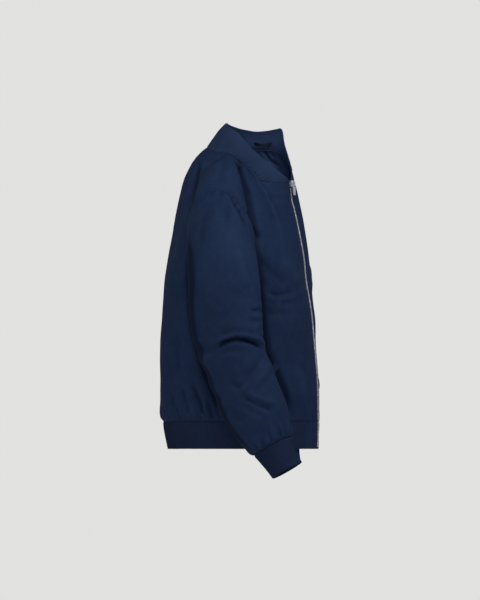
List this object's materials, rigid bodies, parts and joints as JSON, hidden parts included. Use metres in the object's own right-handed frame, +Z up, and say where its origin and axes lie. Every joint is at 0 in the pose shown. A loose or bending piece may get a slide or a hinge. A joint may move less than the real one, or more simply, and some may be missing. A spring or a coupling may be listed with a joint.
{
  "type": "bomber jacket",
  "caption": "Zip-front bomber jacket with a short standing collar, dropped sleeves, banded hem and cuffs, filled out and hollow.",
  "frame": {"origin": "middle of the neck base between the shoulders, where the wearer's shoulders carry the jacket", "axes": "+Z up along the body, -Y out of the zip front, +X towards the wearer's left sleeve"},
  "size_m": [0.6543, 0.3707, 0.7838],
  "materials": {
    "shell": "smooth woven, slight sheen",
    "knit": "fine knitted rib, matt",
    "tape": "woven tape, matt",
    "metal": "bright metal"
  },
  "bodies": {
    "jacket": {"front_right": "shell", "front_left": "shell", "back": "shell", "sleeve_right": "shell", "sleeve_left": "shell", "collar": "knit", "cuff_right": "knit", "cuff_left": "knit", "hem_band": "knit", "hem_block_right": "shell", "hem_block_left": "shell", "pocket_welt_right": "shell", "pocket_welt_left": "shell", "zip_tape_right": "tape", "zip_tape_left": "tape", "zip_chain": "metal", "zip_slider": "metal", "hang_loop": "tape"},
    "pull_tab": {"zip_pull": "metal"}
  },
  "joints": [
    {"name": "pull_tab_swing", "type": "hinge", "parent": "jacket", "child": "pull_tab", "pos_m": [-0.00353, -0.122, -0.03395], "axis": [-0.866, 0.5, 0], "range_deg": [0, 120]}
  ]
}
